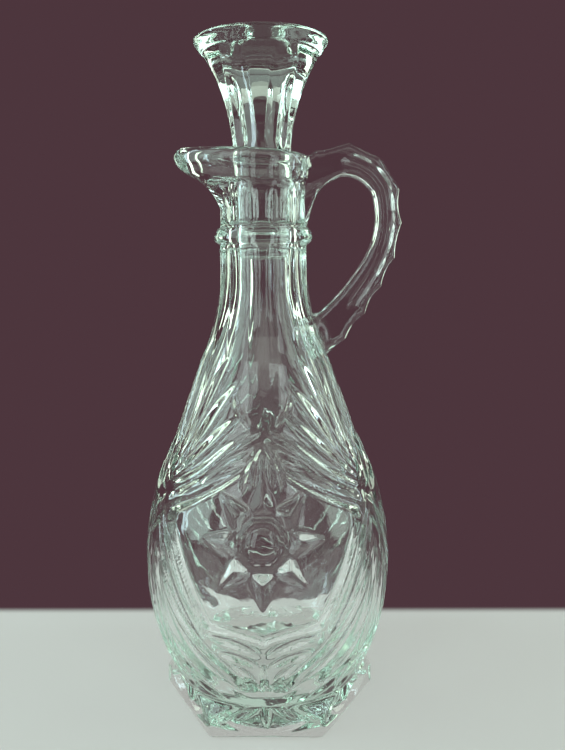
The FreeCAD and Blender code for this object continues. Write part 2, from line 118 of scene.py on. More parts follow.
def outer_radius(height):
    """Radius of the plain outside, from the waist up to the collar."""
    height = np.asarray(height, float)
    low = arc_radius(np.minimum(height, BELLY_HEIGHT), BELLY_RADIUS, BELLY_HEIGHT, BELLY_LOW_ARC)
    top_height = np.clip(height, BELLY_HEIGHT, SHOULDER_HEIGHT)
    top = arc_radius(top_height, BELLY_RADIUS, BELLY_HEIGHT, BELLY_TOP_ARC)
    slope = (height - SHOULDER_HEIGHT) / (SLOPE_HEIGHT - SHOULDER_HEIGHT)
    line = SHOULDER_RADIUS + (SLOPE_RADIUS - SHOULDER_RADIUS) * slope
    neck_height = np.clip(height, SLOPE_HEIGHT, NECK_START)
    neck = NECK_RADIUS + NECK_ARC - np.sqrt(NECK_ARC**2 - (NECK_START - neck_height) ** 2)
    crest = (BEAD_LOW + BEAD_HIGH) / 2
    half = (BEAD_HIGH - BEAD_LOW) / 2
    bead = (BEAD_RADIUS - NECK_RADIUS) * np.sqrt(np.clip(1 - ((height - crest) / half) ** 2, 0, 1))
    collar = np.where(height > crest, COLLAR_RADIUS, NECK_RADIUS) + bead
    return np.select(
        [height <= BELLY_HEIGHT, height <= SHOULDER_HEIGHT, height <= SLOPE_HEIGHT, height <= NECK_START],
        [low, top, line, neck],
        collar,
    )


# The pressed pattern ------------------------------------------------------------------------

# The pattern is the same on both sides of two planes, the one through spout and handle and the
# one square to it, so every cut is given once, for angles from 0 (front) to 90 (handle). The
# middle of a star panel is at 0, and the long leaves spring from a hub at 60 degrees.
# A cut is a long groove that narrows to a point at both ends.

# (points as (degrees, height), half width in mm, depth in mm)
CUTS = [
    # The swag from the top of the window to the hub: two grooves
    ([(0.5, 90.5), (18.0, 86.3), (38.0, 78.0), (60.0, 71.4)], 1.35, 1.15),
    ([(3.0, 87.0), (20.0, 82.6), (38.0, 75.4), (58.5, 69.6)], 1.15, 1.0),
    # The broad leaf under the swag
    ([(9.0, 82.0), (24.0, 78.3), (40.0, 73.0), (57.0, 68.4)], 2.2, 1.3),
    # The two curved grooves down the side of the window
    ([(59.0, 68.0), (47.0, 57.5), (36.5, 46.5), (25.5, 34.6)], 1.15, 1.15),
    ([(60.0, 65.5), (51.5, 54.0), (41.0, 43.0), (27.0, 32.0)], 1.3, 1.15),
    # The diagonal from the hub to the point at the bottom
    ([(60.5, 61.5), (52.5, 49.5), (39.5, 38.5), (21.0, 27.5), (0.5, 16.8)], 1.35, 1.2),
    # Leaves that hang from the hub, outside the diagonal
    ([(60.8, 59.0), (54.0, 45.0), (42.5, 33.5), (25.0, 22.6), (8.0, 14.8)], 2.7, 1.2),
    ([(61.5, 55.0), (57.5, 38.5), (48.0, 26.0), (35.0, 17.8), (22.0, 13.0)], 3.0, 1.25),
    ([(63.5, 50.0), (63.0, 34.5), (58.0, 22.5), (48.0, 15.5), (40.0, 12.6)], 3.0, 1.25),
    ([(66.0, 60.0), (70.0, 44.0), (70.5, 28.0), (66.0, 15.0)], 2.8, 1.2),
    ([(63.5, 65.5), (73.0, 54.0), (80.0, 40.0), (82.0, 24.0), (79.0, 12.8)], 2.6, 1.2),
    ([(64.0, 69.5), (76.0, 62.0), (84.5, 52.0), (89.5, 40.0)], 1.8, 1.1),
    ([(90.0, 46.0), (90.0, 30.0), (90.0, 14.0)], 2.6, 1.2),
    # Leaves under the window
    ([(24.5, 34.8), (13.0, 33.7), (0.8, 30.4)], 1.45, 1.35),
    ([(22.0, 30.4), (11.0, 29.0), (1.5, 26.4)], 1.3, 1.2),
    # The fan that stands on the bottom point
    ([(0.0, 27.5), (0.0, 18.0)], 1.3, 1.1),
    ([(15.0, 27.2), (8.0, 23.0), (1.5, 18.0)], 1.3, 1.1),
    # Leaves that rise from the hub over the shoulder
    ([(59.0, 73.4), (42.0, 82.0), (26.0, 89.5), (12.0, 95.5)], 1.7, 1.25),
    ([(60.0, 75.0), (45.0, 86.0), (31.0, 95.5), (18.0, 103.0)], 2.0, 1.2),
    ([(60.5, 77.0), (50.0, 90.0), (39.0, 102.0), (29.0, 110.0)], 2.1, 1.2),
    ([(61.0, 79.5), (55.5, 93.0), (48.5, 108.0), (42.0, 121.0)], 1.9, 1.15),
    ([(62.0, 82.0), (61.5, 97.0), (60.5, 114.0)], 1.8, 1.15),
    ([(63.5, 76.0), (70.0, 90.0), (76.0, 104.0), (80.0, 117.0)], 1.8, 1.2),
    ([(65.0, 72.5), (76.0, 83.5), (84.0, 95.0), (90.0, 106.0)], 1.9, 1.25),
    ([(90.0, 92.0), (90.0, 76.0), (90.0, 58.0)], 2.6, 1.3),
    ([(68.0, 70.5), (77.0, 73.0), (85.5, 77.0)], 1.5, 1.1),
    # The small leaves that point down between the neck's front facet and the swag
    ([(21.0, 100.0), (17.0, 95.0), (8.0, 91.8)], 0.9, 0.9),
    ([(50.0, 96.0), (49.0, 88.0), (56.0, 78.0)], 0.9, 0.9),
]
CUT_DEPTH = 1.35
HOLLOW_DEPTH = 0.95
BROAD_LEAF = 1.5  # a leaf whose half width is this or more is a round hollow
HUB = (60.5, 70.2)  # degrees and height of the boss where the leaves meet
HUB_BOSS = 2.3  # radius of the plain boss
HUB_FADE = 2.4 * HUB_BOSS  # radius where the leaves have their full depth
CREASE = 0.08  # how far the pressed creases are rounded, in mm of depth
LENS_POWER = 0.6  # below 1, a leaf keeps its width further towards its ends


def lens(across, up, scale, points, half, depth, hollow=False):
    """Depth of one pointed groove at each place. scale is the mm of surface in one unit across.

    The groove's section is a V, or a round hollow. The scale changes with the place, so the
    distances are worked out here and not by nearest_on.
    """
    line = curve_through(points, 4 * len(points) + 1)
    nearest = np.full(across.shape, FAR)
    share = np.zeros(across.shape)
    pieces = len(line) - 1
    for i in range(pieces):
        (a, low), (b, high) = line[i], line[i + 1]
        x = (across - a) * scale
        y = up - low
        step_x = (b - a) * scale
        step_y = high - low
        along = np.clip((x * step_x + y * step_y) / (step_x**2 + step_y**2), 0, 1)
        distance = np.hypot(x - along * step_x, y - along * step_y)
        closer = distance < nearest
        nearest = np.where(closer, distance, nearest)
        share = np.where(closer, (i + along) / pieces, share)
    width = half * np.sin(np.pi * np.clip(share, 0.001, 0.999)) ** LENS_POWER
    if hollow:
        return HOLLOW_DEPTH * depth * width / half * (1 - (nearest / width) ** 2)
    return CUT_DEPTH * depth / half * (width - nearest)


# The star in the middle of the window
STAR_HEIGHT = 61.6
STAR_STEP = math.tau / 8
STAR_REACH = 19.4
STAR_WAIST = 10.4  # where neighbouring points meet
BUTTON_RADIUS = 7.7
DOME_RADIUS = 4.7
WINDOW_DEPTH = 2.0
FACET_SLOPE = 0.62  # of the two facets of each point
VALLEY_SLOPE, VALLEY_FLOOR = 0.55, 0.3  # of the valley between two points
ROOT_SLOPE = 0.7  # of the points' roots, out from the button
BUTTON_BASE = 0.4  # height of the groove between button and points, over the window's floor
BUTTON_SLOPE, BUTTON_LAND = 0.75, 1.5
DOME_RISE = 1.6
DOME_GROOVE_SLOPE = 1.1
# (points as (degrees, height), half width in mm, depth in mm)
RAYS = [
    ([(0.0, 74.0), (0.0, 86.0)], 1.0, 0.8),
    ([(5.5, 75.0), (4.0, 84.5)], 1.0, 0.8),
    ([(11.5, 75.0), (8.0, 82.5)], 1.0, 0.8),
]


def star_points(reach, turn):
    """How high the star's points stand, from the distance and the turn off a point's middle."""
    waist_x = STAR_WAIST * math.cos(STAR_STEP / 2)
    waist_y = STAR_WAIST * math.sin(STAR_STEP / 2)
    slope = waist_y / (STAR_REACH - waist_x)
    edge = (slope * (STAR_REACH - reach * np.cos(turn)) - reach * np.sin(turn)) / math.hypot(slope, 1)
    neighbour = reach * np.sin(STAR_STEP / 2 - turn)
    flank = np.minimum(FACET_SLOPE * edge, VALLEY_SLOPE * neighbour + VALLEY_FLOOR)
    root = ROOT_SLOPE * (reach - BUTTON_RADIUS) + BUTTON_BASE
    return np.minimum(flank, root)


def star_button(reach, turn):
    """How high the star's button stands: eight facets round a low dome."""
    inside = BUTTON_RADIUS * math.cos(STAR_STEP / 2) - reach * np.cos(turn)
    ring = np.minimum(BUTTON_SLOPE * inside, BUTTON_LAND)
    groove = DOME_GROOVE_SLOPE * (reach - DOME_RADIUS)
    dome = DOME_RISE * np.sqrt(np.clip(1 - (reach / DOME_RADIUS) ** 2, 0, 1))
    return BUTTON_BASE + np.where(reach < DOME_RADIUS, dome, np.minimum(ring, groove))


def star_height(angle, height, radius):
    """How high the star and its rays stand over the window's floor."""
    across = np.radians(angle) * radius
    up = height - STAR_HEIGHT
    reach = np.hypot(across, up)
    direction = np.arctan2(across, up)
    turn = np.abs((direction + STAR_STEP / 2) % STAR_STEP - STAR_STEP / 2)
    star = np.where(reach < BUTTON_RADIUS, star_button(reach, turn), star_points(reach, turn))
    rays = [lens(angle, height, math.radians(1) * radius, *ray) for ray in RAYS]
    return np.clip(np.maximum(star, np.maximum.reduce(rays)), 0, WINDOW_DEPTH)


# Outline of the smooth window, as (height, half angle in degrees)
WINDOW_SIDE = [
    (31.0, 22.5),
    (37.0, 25.5),
    (46.0, 34.0),
    (56.5, 43.5),
    (63.5, 52.0),
    (67.0, 50.0),
    (71.0, 37.0),
    (75.0, 24.0),
    (79.5, 12.0),
    (86.0, 1.0),
]
WINDOW_SILL = 33.0
SILL_CORNER = 24.5  # degrees out to which the sill rises
SILL_RISE = 4.0
NO_WINDOW = -5.0  # half angle over and under the window, so that no place there is inside
WINDOW_SLOPE = 1.2  # width of the rounded step down into the window
WINDOW_RIM = 0.2  # how far the leaves beside the window reach into it


def inside_window(angle, height, radius):
    """How far each place is inside the window's outline."""
    heights, sides = np.array(WINDOW_SIDE).T
    side = np.interp(height, heights, sides, left=NO_WINDOW, right=NO_WINDOW)
    sill = WINDOW_SILL + SILL_RISE * np.sqrt(np.clip(angle / SILL_CORNER, 0, 1))
    return np.minimum(np.radians(side - angle) * radius, height - sill)


def window_depth(angle, height, radius):
    """Depth of the sunken window, less the star that stands in it."""
    sunk = WINDOW_DEPTH * smoothstep(0.0, WINDOW_SLOPE, inside_window(angle, height, radius))
    return sunk - np.minimum(star_height(angle, height, radius), sunk)


NECK_FACETS = 12
FACET_HOLLOW = 1.7  # 1 is flat, and more is hollow
FACET_FEET = [91.5, 104.0, 112.0, 116.0]  # where each facet starts, from the front one round
FACET_POINT = 24.0  # height over which a facet grows to its full width
FACET_FADE = 1.2  # height over which the facets fade out at the bead


def neck_facets(angle, height, radius):
    """Depth of the hollow panels round the neck, which run down into points on the shoulder."""
    step = 360.0 / NECK_FACETS
    which = np.rint(angle / step).astype(int)
    foot = np.array(FACET_FEET)[which]
    away = np.radians(angle - which * step) * radius
    grow = np.clip((height - foot) / FACET_POINT, 0, 1) ** 0.7
    half = np.radians(step / 2) * radius * grow
    under_bead = 1 - smoothstep(BEAD_LOW - FACET_FADE, BEAD_LOW, height)
    over_bead = smoothstep(BEAD_HIGH, BEAD_HIGH + FACET_FADE, height)
    flat = np.clip(half**2 - away**2, 0, None) / (2 * radius)
    return flat * FACET_HOLLOW * (under_bead + over_bead)


def pattern_depth(angle, height):
    """Depth of the pressed pattern under the plain outside, for angles from 0 to 90."""
    radius = outer_radius(height)
    scale = math.radians(1) * radius
    cuts = [lens(angle, height, scale, *cut, hollow=cut[1] >= BROAD_LEAF) for cut in CUTS]
    carved = np.maximum(soft_max([np.zeros_like(angle)] + cuts, CREASE) - CREASE / 4, 0)
    from_hub = np.hypot((angle - HUB[0]) * scale, height - HUB[1])
    carved = carved * smoothstep(HUB_BOSS, HUB_FADE, from_hub)
    window = window_depth(angle, height, radius)
    outside = inside_window(angle, height, radius) < WINDOW_RIM
    depth = np.where(outside, np.maximum(carved, window), window)
    return np.maximum(depth, neck_facets(angle, height, radius))


# The foot -----------------------------------------------------------------------------------

FOOT_APOTHEM = 28.75
FOOT_CORNER_ROUND = 2.0
FOOT_TOP = 12.0
BEVEL_LOW = 6.0
SIDES = 60.0  # degrees from one flat of the foot to the next
LENS_TIP_X, LENS_TIP_Z = 12.5, 5.6
LENS_TOP_ARC, LENS_LOW_ARC = 18.5, 22.0
LENS_DEPTH = 1.9
LENS_SLOPE = 1.0  # width of the rounded step down into the recess
PETAL_RISE = 1.6
# (points as (mm off the flat's middle, height), half width in mm, height over the recess in mm)
PETALS = [
    ([(0.0, 10.8), (0.0, 2.0)], 1.9, 1.4),
    ([(-1.6, 10.2), (-5.4, 7.6), (-9.4, 4.6)], 1.6, 1.3),
    ([(1.6, 10.2), (5.4, 7.6), (9.4, 4.6)], 1.6, 1.3),
]


def off_flat(angle):
    """Angle off the middle of the nearest flat of the foot, in degrees."""
    return (angle + SIDES / 2) % SIDES - SIDES / 2


def foot_radius(angle, height):
    """Radius of the six-sided foot: rounded corners, a bevel on top and a recess in each flat."""
    off = off_flat(angle)
    flat = FOOT_APOTHEM / np.cos(np.radians(off))
    corner_middle = (FOOT_APOTHEM - FOOT_CORNER_ROUND) / math.cos(math.radians(SIDES / 2))
    turn = np.radians(SIDES / 2 - np.abs(off))
    inside = np.clip(FOOT_CORNER_ROUND**2 - (corner_middle * np.sin(turn)) ** 2, 0, None)
    rounded = corner_middle * np.cos(turn) + np.sqrt(inside)
    near_corner = corner_middle * np.sin(turn) < FOOT_CORNER_ROUND * math.sin(math.radians(SIDES / 2))
    side = np.where(near_corner, np.minimum(rounded, flat), flat)
    corner = FOOT_APOTHEM / math.cos(math.radians(SIDES / 2))
    bevel = corner - (height - BEVEL_LOW) / (FOOT_TOP - BEVEL_LOW) * (corner - FOOT_APOTHEM)
    across = FOOT_APOTHEM * np.tan(np.radians(off))
    return np.minimum(side, bevel) - lens_recess(across, height)


def lens_recess(across, height):
    """Depth of the pointed recess pressed into a flat, with its three petals."""
    top_drop = math.sqrt(LENS_TOP_ARC**2 - LENS_TIP_X**2)
    low_rise = math.sqrt(LENS_LOW_ARC**2 - LENS_TIP_X**2)
    under_top = LENS_TOP_ARC - np.hypot(across, height - (LENS_TIP_Z - top_drop))
    over_low = LENS_LOW_ARC - np.hypot(across, height - (LENS_TIP_Z + low_rise))
    inside = np.minimum(under_top, over_low)
    sunk = LENS_DEPTH * smoothstep(0.0, LENS_SLOPE, inside)
    ones = np.ones_like(across)
    petals = [lens(across, height, ones, *petal) for petal in PETALS]
    raised = np.clip(np.maximum.reduce(petals), 0, PETAL_RISE)
    return sunk - np.minimum(raised, sunk)


# Meshes -------------------------------------------------------------------------------------


class Skin:
    """A closed surface made of rings of points, from one pole to the other."""

    def __init__(self, first_pole):
        self.points = [np.array([first_pole], float)]
        self.faces = []
        self.last = [0]
        self.total = 1

    def add(self, ring):
        """Add a ring. Its count is the last one's, a multiple of it or a whole part of it."""
        ring = np.asarray(ring, float)
        fresh = list(range(self.total, self.total + len(ring)))
        self.points.append(ring)
        self.total += len(ring)
        self._join(self.last, fresh)
        self.last = fresh

    def _join(self, low, high):
        """Add the faces between two rings, or between the first pole and its ring."""
        count = max(len(low), len(high))
        low_step, high_step = count // len(low), count // len(high)
        for i in range(0, count, max(low_step, high_step) if len(low) > 1 else 1):
            if len(low) == 1:
                self.faces.append((low[0], high[(i + 1) % count], high[i])[::-1])
                continue
            low_run = [low[(i // low_step + k) % len(low)] for k in range(high_step + 1)]
            high_run = [high[(i // high_step + k) % len(high)] for k in range(low_step + 1)]
            self.faces.append(tuple(low_run + high_run[::-1]))

    def close(self, pole):
        """Close the surface with its other pole."""
        self.points.append(np.array([pole], float))
        count = len(self.last)
        for i in range(count):
            self.faces.append((self.last[i], self.last[(i + 1) % count], self.total))
        self.total += 1


def round_ring(radii, height, angles):
    """Ring of points at the given radii and height, at angles from the front."""
    radians = np.radians(angles)
    heights = np.broadcast_to(height, radians.shape)
    return np.column_stack([radii * np.sin(radians), -radii * np.cos(radians), heights])


def make_piece(name, points, faces, node, body):
    """Mesh object in metres that stands for a CAD node."""
    mesh = bpy.data.meshes.new(name)
    mesh.from_pydata((np.asarray(points) * MM).tolist(), [], faces)
    mesh.validate()
    mesh.shade_smooth()
    piece = bpy.data.objects.new(name, mesh)
    bpy.context.scene.collection.objects.link(piece)
    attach(piece, body)
    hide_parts(node)
    return piece


# The bottle ---------------------------------------------------------------------------------

OUTER_COLUMNS = 360
INNER_COLUMNS = 120
PATTERN_TOP = 122.0
PATTERN_ROWS = 157
FOOT_ROW = 0.4  # height of a row of faces on the foot
WAIST_LOW = 9.7  # the belly starts here, and the foot's bevel reaches up beside it
WAIST_STEP = 0.02  # how far over that the belly's first row is
# The hollow under the foot, as (radius, height)
FOOT_HOLLOW = [
    (5.0, 1.95), (10.0, 1.8), (14.0, 1.55), (17.5, 1.2),
    (20.0, 0.8), (22.0, 0.35), (23.4, 0.08), (24.4, 0.0),
]
FOOT_HOLLOW_DEPTH = 2.0
FOOT_EDGE = 1.5  # round along the foot's lower edge

# Lip sections: height on the axis, tilt, reach at the back, reach of the spout, half width, pinch
# (1 is an ellipse, and less draws the spout in to a point)
LIP_OUTSIDE = [
    (COLLAR_TOP, 0.0, COLLAR_RADIUS, COLLAR_RADIUS, COLLAR_RADIUS, 1.0),
    (155.96, 0.02, 12.6, 15.9, 12.6, 1.0),
    (161.1, 0.05, 13.5, 23.85, 13.6, 0.85),
    (163.4, 0.07, 14.4, 25.6, 14.45, 0.77),
]
LIP_INSIDE = [
    (163.4, 0.07, 11.2, 19.6, 11.25, 0.77),
    (161.0, 0.0425, 10.6, 17.0, 10.7, 0.77),
    (158.4, 0.0, 9.0, 9.6, 9.0, 1.0),
]
RIM_RISE = 3.1
LIP_GROOVE = 0.8  # depth of the hollow under the rounded rim
GROOVE_LOW, GROOVE_HIGH = (155.5, 157.8), (158.6, 160.2)  # heights over which it starts and ends
FLUTE_END = (153.0, 157.5)  # heights over which the neck's flutes fade into the lip

# The inside, from the top down
SEAT_TOP, SEAT_TOP_RADIUS = 157.6, 8.7
SEAT_LOW, SEAT_LOW_RADIUS = 136.4, 7.62
BORE_RADIUS, BORE_START = 7.6, 128.0
INNER_SLOPE = 15.0  # radius at the top of the slope
INNER_SHOULDER = 23.6  # radius at the foot of the shoulder
INNER_BELLY = 34.1
INNER_LOW_ARC = 70.4
FLOOR_EDGE = [(28.3, 18.0), (27.4, 16.3), (25.9, 14.8), (24.0, 13.6), (21.5, 12.8)]
CAVITY_FLOOR = 12.5


def blurred(field):
    """Field averaged a little over its neighbours, down its columns and then along its rows."""
    padded = np.pad(field, 1, mode="reflect")
    field = 0.25 * padded[:-2, 1:-1] + 0.5 * padded[1:-1, 1:-1] + 0.25 * padded[2:, 1:-1]
    padded = np.pad(field, 1, mode="reflect")
    return 0.25 * padded[1:-1, :-2] + 0.5 * padded[1:-1, 1:-1] + 0.25 * padded[1:-1, 2:]


def outside_table(heights):
    """Radius of the pressed outside for each height and each whole column round the bottle."""
    quarter = OUTER_COLUMNS // 4
    fine_angles = np.linspace(0, 90, 2 * quarter + 1)
    fine_heights = np.interp(np.arange(2 * len(heights) - 1) / 2, np.arange(len(heights)), heights)
    grid_heights, grid_angles = np.meshgrid(fine_heights, fine_angles, indexing="ij")
    wall = outer_radius(grid_heights) - pattern_depth(grid_angles, grid_heights)
    foot = foot_radius(grid_angles, grid_heights)
    wall = np.where(grid_heights < WAIST_LOW, 0.0, wall)
    radius = np.where(grid_heights < FOOT_TOP, np.maximum(wall, foot), wall)
    radius = blurred(radius)[::2, ::2]
    mirrored = np.hstack([radius, radius[:, -2::-1]])
    return np.hstack([mirrored, mirrored[:, -2:0:-1]])


def lip_groove(height):
    """Depth of the hollow round the neck under the rounded rim."""
    low, high = GROOVE_LOW, GROOVE_HIGH
    return LIP_GROOVE * smoothstep(*low, height) * (1 - smoothstep(*high, height))


def lip_ring(section, count, depth=0.0):
    """Egg-shaped ring of the lip, drawn out at -X into the spout."""
    height, tilt, back, tip, half, pinch = section
    turn = np.radians(np.arange(count) * 360.0 / count - 90.0)
    cos, sin = np.cos(turn), np.sin(turn)
    spout = cos < 0
    x = np.where(spout, tip, back) * cos
    y = half * sin * np.where(spout, pinch + (1 - pinch) * sin**2, 1.0)
    length = np.hypot(x, y)
    x, y = x * (1 - depth / length), y * (1 - depth / length)
    return np.column_stack([x, y, height - tilt * x])


def cavity_profile():
    """(radius, height) of the inside, from the bore's mouth down to the edge of the floor."""
    rows = [(SEAT_TOP_RADIUS, SEAT_TOP)]
    for z in np.linspace(155.0, SEAT_LOW, 10):
        share = (z - SEAT_LOW) / (SEAT_TOP - SEAT_LOW)
        rows.append((SEAT_LOW_RADIUS + (SEAT_TOP_RADIUS - SEAT_LOW_RADIUS) * share, z))
    rows += [(BORE_RADIUS, 134.0), (BORE_RADIUS, 131.0)]
    for z in np.linspace(BORE_START, 107.5, 14):
        share = (BORE_START - z) / (BORE_START - SLOPE_HEIGHT)
        flare = 0.25 * share + 0.75 * share**1.75
        rows.append((BORE_RADIUS + (INNER_SLOPE - BORE_RADIUS) * flare, z))
    for z in np.linspace(105.0, 86.0, 9):
        share = (SLOPE_HEIGHT - z) / (SLOPE_HEIGHT - SHOULDER_HEIGHT)
        rows.append((INNER_SLOPE + (INNER_SHOULDER - INNER_SLOPE) * share, z))
    for z in np.linspace(83.0, 45.0, 16):
        rows.append((arc_radius(z, INNER_BELLY, BELLY_HEIGHT, BELLY_TOP_ARC), z))
    for z in np.linspace(42.5, 20.0, 12):
        rows.append((arc_radius(z, INNER_BELLY, BELLY_HEIGHT, INNER_LOW_ARC), z))
    return rows + FLOOR_EDGE + [(radius, CAVITY_FLOOR) for radius in (18.0, 12.0, 6.0)]


def outside_heights():
    """Heights of the rows of the pressed outside, closest together over the bead."""
    bead_turn = np.linspace(0, math.pi, 13)[1:]
    bead_rows = (BEAD_LOW + BEAD_HIGH) / 2 - (BEAD_HIGH - BEAD_LOW) / 2 * np.cos(bead_turn)
    return np.concatenate(
        [
            np.arange(FOOT_EDGE, WAIST_LOW - FOOT_ROW / 2, FOOT_ROW),
            np.linspace(WAIST_LOW + WAIST_STEP, PATTERN_TOP, PATTERN_ROWS),
            np.linspace(PATTERN_TOP, BEAD_LOW, 12)[1:],
            bead_rows,
            [146.5, 147.8, 149.4, COLLAR_TOP],
        ]
    )


def build_bottle():
    """The bottle: pressed outside, rolled lip with a spout, and a smooth inside."""
    angles = np.arange(OUTER_COLUMNS) * 360.0 / OUTER_COLUMNS
    inner_angles = np.arange(INNER_COLUMNS) * 360.0 / INNER_COLUMNS
    skin = Skin((0, 0, FOOT_HOLLOW_DEPTH))
    for radius, height in FOOT_HOLLOW:
        skin.add(round_ring(radius, height, inner_angles))
    heights = outside_heights()
    table = outside_table(heights)
    edge = table[0]
    for turn in np.radians(np.linspace(0, 90, 7))[:-1]:
        inset = FOOT_EDGE * (1 - math.sin(turn))
        skin.add(round_ring(edge - inset, FOOT_EDGE * (1 - math.cos(turn)), angles))
    for row, height in zip(table, heights):
        skin.add(round_ring(row, height, angles))
    flute = outer_radius(COLLAR_TOP) - table[-1]
    for section in curve_through(LIP_OUTSIDE, 20)[1:]:
        height = section[0]
        fluted = flute * (1 - smoothstep(*FLUTE_END, height))
        skin.add(lip_ring(section, OUTER_COLUMNS, fluted + lip_groove(height)))
    outer, inner = np.array(LIP_OUTSIDE[-1]), np.array(LIP_INSIDE[0])
    for turn in np.radians(np.linspace(0, 180, 13))[1:-1]:
        section = inner + (outer - inner) * (1 + math.cos(turn)) / 2
        section[0] += RIM_RISE * math.sin(turn)
        skin.add(lip_ring(section, OUTER_COLUMNS))
    for section in curve_through(LIP_INSIDE, 9):
        skin.add(lip_ring(section, INNER_COLUMNS))
    for radius, height in cavity_profile():
        skin.add(round_ring(radius, height, inner_angles))
    skin.close((0, 0, CAVITY_FLOOR))
    points = np.vstack(skin.points)
    return make_piece("bottle_glass", points, skin.faces, "bottle", "bottle")


# The stopper --------------------------------------------------------------------------------

STOPPER_COLUMNS = 240
STOPPER_FOOT, STOPPER_TOP = 136.4, 197.0
TRUMPET_START, TRUMPET_END = 163.0, 193.4
STEM_RADIUS, TRUMPET_RADIUS, TRUMPET_ARC = 8.6, 16.6, 62.0
FLUTES = 6
FLUTE_RADIUS = 11.0
FLUTE_DEPTH = 1.3
FLUTE_RAMP = 7.0  # height over which a flute deepens, from the stem up
FLUTE_ROUND = 5.0  # height of the round end of a flute
FLUTE_GAP = 0.2  # between that end and the rim
SHANK_HIGH, SHANK_LOW, SHANK_RADIUS = 158.0, 137.4, 7.5
DISH_RADIUS, DISH_DEPTH = 16.8, 1.1  # the shallow hollow in the top
DISH_CENTRE = 1.6  # radius of the dish's smallest ring
# The rounded foot of the shank and the bevelled rim, as (radius, height)
SHANK_FOOT = [(3.0, STOPPER_FOOT), (5.8, STOPPER_FOOT), (6.5, 136.45), (7.1, 136.8), (7.45, SHANK_LOW)]
HEAD_RIM = [
    (16.85, 193.5), (17.15, 193.75), (17.5, 194.2), (18.3, 195.2), (18.85, 196.0), (18.97, 196.3),
    (18.9, 196.6), (18.6, 196.85), (18.0, 196.98), (17.4, STOPPER_TOP),
]


def trumpet_profile():
    """(radius, height) of the stopper's outside, from its foot to its top."""
    rows = list(SHANK_FOOT)
    for z in np.linspace(138.5, SHANK_HIGH, 14):
        share = (z - SHANK_LOW) / (SHANK_HIGH - SHANK_LOW)
        rows.append((SHANK_RADIUS + (STEM_RADIUS - SHANK_RADIUS) * share, z))
    rows += [(STEM_RADIUS, z) for z in (160.0, 161.5, TRUMPET_START)]
    rise = TRUMPET_END - TRUMPET_START
    span = TRUMPET_RADIUS - STEM_RADIUS
    half_chord = math.hypot(rise, span) / 2
    depth = math.sqrt(TRUMPET_ARC**2 - half_chord**2)
    middle_r = (STEM_RADIUS + TRUMPET_RADIUS) / 2 + depth * rise / (2 * half_chord)
    middle_z = (TRUMPET_START + TRUMPET_END) / 2 - depth * span / (2 * half_chord)
    for z in np.linspace(TRUMPET_START, TRUMPET_END, 62)[1:]:
        rows.append((middle_r - math.sqrt(TRUMPET_ARC**2 - (z - middle_z) ** 2), z))
    rows += HEAD_RIM
    for radius in np.linspace(DISH_RADIUS, DISH_CENTRE, 10):
        rows.append((radius, STOPPER_TOP - DISH_DEPTH * (1 - (radius / DISH_RADIUS) ** 2)))
    return rows


def flute_depth(angles, radius, height):
    """Depth of the six hollow flutes, which start on the stem and end in a round under the rim."""
    step = 360.0 / FLUTES
    off = np.radians((angles - 90.0 + step / 2) % step - step / 2)
    away = off * radius
    grow = smoothstep(TRUMPET_START, TRUMPET_START + FLUTE_RAMP, height)
    end = np.sqrt(np.clip((TRUMPET_END - FLUTE_GAP - height) / FLUTE_ROUND, 0, 1))
    hollow = FLUTE_DEPTH * grow * end - away**2 / 2 * (1 / FLUTE_RADIUS + 1 / radius)
    return np.clip(hollow, 0, None)


def build_stopper():
    """The stopper: ground shank, stem, fluted trumpet and bevelled rim."""
    angles = np.arange(STOPPER_COLUMNS) * 360.0 / STOPPER_COLUMNS
    skin = Skin((0, 0, STOPPER_FOOT))
    for radius, height in trumpet_profile():
        fluted = radius
        if TRUMPET_START < height < TRUMPET_END:
            fluted = radius - flute_depth(angles, radius, height)
        skin.add(round_ring(fluted, height, angles))
    skin.close((0, 0, STOPPER_TOP - DISH_DEPTH))
    points = np.vstack(skin.points)
    return make_piece("stopper_glass", points, skin.faces, "stopper", "stopper")


# The handle ---------------------------------------------------------------------------------

# The arm's middle line as (x, height), and half its depth at each of those points
ARM_LINE = [
    (9.0, 159.5), (16.0, 162.4), (23.0, 164.4), (29.5, 162.6), (34.6, 157.6), (36.3, 150.5),
    (36.0, 142.5), (33.4, 135.0), (29.6, 128.5), (25.0, 122.0), (19.5, 115.8), (12.0, 108.5),
]
ARM_HALF = [4.6, 4.5, 4.5, 4.2, 3.9, 3.7, 3.8, 4.0, 4.4, 4.9, 5.4, 5.6]
ARM_WIDTH = 9.0
ARM_ROUND = 2.2
ARM_POINTS = 89  # points that the arm's curve is cut into
SCALLOPS = 10
SCALLOP_DIP = 1.3
SCALLOP_START = (0.02, 0.08)  # shares of the arm's length over which the scallops grow
GROOVE_SPAN = (0.16, 0.84)  # where the groove starts and ends, as shares of the arm's length
GROOVE_FADE = 0.06
GROOVE_HALF, GROOVE_DEPTH = 1.7, 0.72
GROOVE_INSET = 0.2  # how far the groove lies inside the arm's middle line
WEB_WIDTH = 7.0
WEB_ROUND = 1.0
# The web's free edge, as (x, height)
WEB_EDGE = [(12.4, 144.6), (12.9, 146.6), (14.4, 151.6), (15.7, 154.9), (17.8, 157.8), (21.0, 160.6)]
PAD_PLACE = (13.0, 113.6)
PAD_LEAN = 12.0  # degrees that the pad faces up
PAD_LONG, PAD_WIDE, PAD_OUT = 12.5, 12.0, 4.6
PAD_ROUND = 3.0
GRID_LOW, GRID_HIGH = (9.0, -8.5, 103.0), (42.5, 8.5, 171.0)  # corners of the box of cells
CELL = 0.36
SINK = 0.5  # how far the handle's ends reach into the bottle's wall, so that no gap shows
BLEND = 2.4  # radius of the rounding where arm, web and pad meet
POLISH_FACTOR, POLISH_ROUNDS = 0.5, 4  # smoothing of the finished mesh


